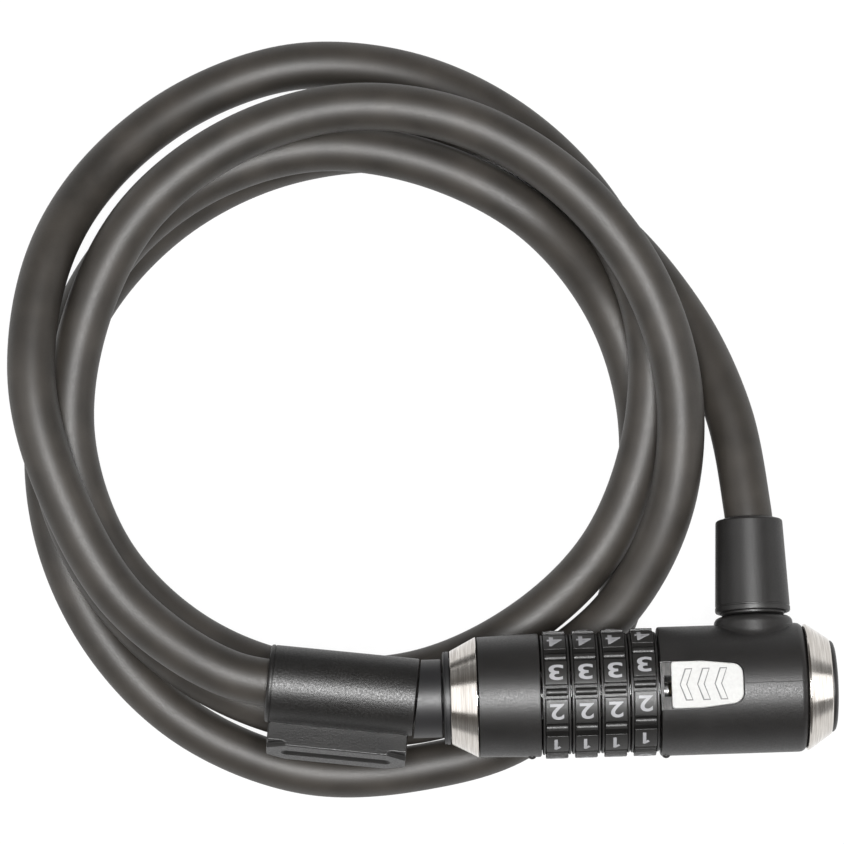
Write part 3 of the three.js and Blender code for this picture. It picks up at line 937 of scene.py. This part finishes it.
# plug: steel pin with four fins, and its collar
plug = {
    "pin": [(-54, 5), (-51.5, 5), (-51.5, 3), (7, 3), (8, 2)],
    "finReach": 8.8,
    "finHalfWide": 1.5,
    "finHalfThick": 1.2,
    "firstFin": -17.6,
    "finPitch": 7.3,
    "collar": [
        (-60, 5.3), (-60, 9.75), (-49.8, 9.75), (-49.55, 9.6), (-49.5, 9.4), (-49.5, 6.2), (-41.6, 6.2),
        (-41.6, 3.3), (-51.2, 3.3), (-51.2, 5.3),
    ],
}
sleeveTurn = -7.4
sleevePlace = (-56, 0.4, 0)

pin = turnedPiece("plug_pin_steel", plug["pin"], 48, ring=False)
for k in range(4):
    x = plug["firstFin"] + k * plug["finPitch"]
    thick, wide = plug["finHalfThick"], plug["finHalfWide"]
    fin = block("fin", x - thick, x + thick, -wide, wide, 1, plug["finReach"])
    softenEdges(fin, 0.25, 2)
    cutWith(pin, fin, "UNION")
faceOutwards(pin)
smoothShade(pin)
seatOnLock(pin)
dress(pin, lockSteel, "plug", "lock_steel", "plug_pin")

collar = turnedPiece("plug_collar_smooth", plug["collar"], 96)
slant = block("cutSlant", -20, 0.3, -20, 20, -20, 20)
slant.location = Vector(sleevePlace) * mm
slant.rotation_euler = (0, 0, math.radians(sleeveTurn))
applyPlace(slant)
cutWith(collar, slant)
softenEdges(collar, 0.15, 2, 40)
smoothShade(collar)
applyPlace(collar)
dress(collar, darkPlastic, "plug", "housing", "plug_collar")

# carrier sleeve with its bracket foot, a sloping block with a grooved eight-sided face
carrier = {
    "sleeve": [
        (-37.2, 7.0), (-37.2, 9.1), (-37.08, 9.45), (-36.8, 9.7), (-36.4, 9.78), (-36.15, 9.72),
        (-36.05, 9.56), (-35.9, 9.56), (-35.8, 9.7), (-0.45, 9.7), (-0.15, 9.55), (0, 9.25), (0, 7.75), (-33, 7.75),
        (-34, 7.0),
    ],
    "footTurn": -20,
    "left": -36.1,
    "wide": 35,
    "top": -1.8,
    "thick": 12.6,
    "reach": 15.2,
    "step": 1.2,
    "slope": (-11.5, -4.5, -8.2),
    "corner": (4.7, 3.1),
    "groove": (2.4, 11.9, 1.07),
}

sleeve = turnedPiece("carrier_sleeve_foot", carrier["sleeve"], 128)
footLeft, footRight = carrier["left"], carrier["left"] + carrier["wide"]
footTop, footLow = carrier["top"], carrier["top"] - carrier["thick"]
footMiddle = Vector(((footLeft + footRight) / 2, -carrier["reach"], (footTop + footLow) / 2))
foot = block("foot", footLeft, footRight, -carrier["reach"], -3, footLow, footTop)
slopeOut, slopeIn, slopeTop = carrier["slope"]
editing(foot)
for y in (slopeOut, slopeIn):
    bpy.ops.mesh.select_all(action="SELECT")
    bpy.ops.mesh.bisect(plane_co=(0, y * mm, 0), plane_no=(0, 1, 0))
choosePoints(foot, lambda p: abs(p.y - slopeIn) < 0.01 and p.z < footLow + 0.01)
bpy.ops.transform.translate(value=(0, 0, (slopeTop - footLow) * mm))
choosePoints(foot, lambda p: p.y > slopeIn + 0.01 and p.z < footLow + 0.01)
bpy.ops.transform.translate(value=(0, 0, (footTop - 0.6 - footLow) * mm))
bpy.ops.object.mode_set(mode="OBJECT")

# the four corners of the end face are cut back a step, by a frame with an eight-sided window
cornerX, cornerZ = carrier["corner"]
squash = cornerZ / cornerX
spare = 0.5
windowX = carrier["wide"] / 2 + spare
windowZ = (carrier["thick"] / 2 + spare) / squash
window = block(
    "window", footMiddle.x - windowX, footMiddle.x + windowX,
    footMiddle.y - 3, footMiddle.y + 5, footMiddle.z - windowZ, footMiddle.z + windowZ,
)
editing(window)
chooseEdges(window, lambda a, b: abs(a.y - b.y) > 1)
bpy.ops.mesh.bevel(offset=(cornerX + spare + spare / squash) * mm, segments=1)
bpy.ops.mesh.select_all(action="SELECT")
bpy.ops.transform.resize(value=(1, 1, squash), center_override=footMiddle * mm)
bpy.ops.object.mode_set(mode="OBJECT")
frameCutter = block(
    "cutCorners", footLeft - 3, footRight + 3, footMiddle.y - 1, footMiddle.y + carrier["step"],
    footLow - 3, footTop + 3,
)
cutWith(frameCutter, window)
cutWith(foot, frameCutter)
faceOutwards(foot)
softenEdges(foot, 0.34, 3, 25)

grooveRadius, grooveHalf, grooveDepth = carrier["groove"]
clearSelection()
bpy.ops.mesh.primitive_uv_sphere_add(
    segments=40, ring_count=20, radius=grooveRadius * mm, rotation=(0, math.pi / 2, 0)
)
channel = fresh("cutGroove")
editing(channel)
for sign in (1, -1):
    choosePoints(channel, lambda p: p.x * sign > 0.05)
    bpy.ops.transform.translate(value=(sign * grooveHalf * mm, 0, 0))
bpy.ops.object.mode_set(mode="OBJECT")
channel.location = (footMiddle + Vector((0, grooveDepth - grooveRadius, 0))) * mm
applyPlace(channel)
cutWith(foot, channel)
cutWith(foot, rod("cutTunnel", 8.8, -40, 5, 64))
turnOnX(foot, carrier["footTurn"])
cutWith(sleeve, foot, "UNION")
faceOutwards(sleeve)
smoothShade(sleeve, 36)
sleeve.location = Vector(sleevePlace) * mm
sleeve.rotation_euler = (0, 0, math.radians(sleeveTurn))
applyPlace(sleeve)
dress(sleeve, carrierPlastic, "plug", "carrier", "carrier_sleeve")
print("carrier and plug built")

# the cable takes its finish; a share of the plug's motion is worked out for each ring along its last stretch, but
# nothing uses it
cableJacket.data.materials.append(jacketVinyl)
pick(cableJacket)
bpy.ops.object.shade_smooth_by_angle(angle=math.radians(40))
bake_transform(cableJacket)
follow = []
for i in range(len(cablePath)):
    left = (len(cablePath) - 1 - i) * cable["step"]
    t = min(1, max(0, (cable["free"] - left) / (cable["free"] - cable["held"])))
    follow += [t * t * (3 - 2 * t)] * cable["sides"]
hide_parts("cable")

# inner steel and brass parts keep their shapes
steelParts = [
    "core_tube", "core_nut", "reset_collar", "reset_spring", "ejector_spring", "spring_seat",
    "swivel_clip", "cable_ferrule", "plug_ferrule",
]
brassParts = ["ejector_plunger", "code_wheel_1", "code_wheel_2", "code_wheel_3", "code_wheel_4"]
for material, names in ((lockSteel, steelParts), (wheelBrass, brassParts)):
    for name in names:
        nodes[name].data.materials.clear()
        nodes[name].data.materials.append(material)
print("inner parts finished")

# floor, sky, a soft light above and a softer panel on each side
studio = {
    "floorZ": -37.25,
    "floorSize": 8,
    "floorGlow": 0.94,
    "floorTone": 0.06,
    "boxSize": 0.5,
    "boxHeight": 1.35,
    "boxPower": 37,
    "boxSpot": (-0.03, 0.0),
    "panels": [((-1.21, 0, 0.88), 1.27, 0.7, 5), ((1.39, 0, 0.56), 0.9, 0.7, 4)],
    "skyHorizon": 0.26,
    "skyMiddle": 0.09,
}

clearSelection()
bpy.ops.mesh.primitive_plane_add(size=studio["floorSize"], location=(0, 0, studio["floorZ"] * mm))
floor = fresh("studioFloor")
paper, shades, links, shader = newMaterial("paleFloor")
place = shades.new("ShaderNodeTexCoord")
tooth = noise(shades, links, place, 2.0, 3)
tone = studio["floorTone"]
paperTone = tones(shades, links, tooth, [(0.3, (tone - 0.01,) * 3), (0.7, (tone + 0.01,) * 3)])
links.new(paperTone, shader.inputs["Base Color"])
shader.inputs["Roughness"].default_value = 0.9
shader.inputs["Specular IOR Level"].default_value = 0.1
shader.inputs["Emission Color"].default_value = (1, 1, 1, 1)
shader.inputs["Emission Strength"].default_value = studio["floorGlow"]
floor.data.materials.append(paper)

sky = bpy.data.worlds.new("studioSky")
bpy.context.scene.world = sky
sky.use_nodes = True
shades, links = sky.node_tree.nodes, sky.node_tree.links
place = shades.new("ShaderNodeTexCoord")
split = shades.new("ShaderNodeSeparateXYZ")
links.new(place.outputs["Generated"], split.inputs["Vector"])
horizon, middle = studio["skyHorizon"], studio["skyMiddle"]
glow = tones(shades, links, split.outputs["Z"], [
    (0.0, (horizon,) * 3),
    (0.22, (horizon, horizon * 0.99, horizon * 0.97)),
    (0.38, (middle * 1.15, middle * 1.05, middle * 0.95)),
    (1.0, (middle, middle * 0.95, middle * 0.88)),
])
links.new(glow, shades["Background"].inputs["Color"])

bpy.ops.object.light_add(type="AREA", location=(*studio["boxSpot"], studio["boxHeight"]))
softbox = bpy.context.object
softbox.name = "softbox"
softbox.data.shape = "SQUARE"
softbox.data.size = studio["boxSize"]
softbox.data.energy = studio["boxPower"]
for spot, wide, tall, power in studio["panels"]:
    bpy.ops.object.light_add(
        type="AREA", location=spot, rotation=(-Vector(spot)).to_track_quat("-Z", "Y").to_euler()
    )
    panel = bpy.context.object
    panel.name = "sidePanel"
    panel.data.shape = "RECTANGLE"
    panel.data.size = wide
    panel.data.size_y = tall
    panel.data.energy = power
bpy.context.scene.view_settings.view_transform = "Standard"
print("studio lit")
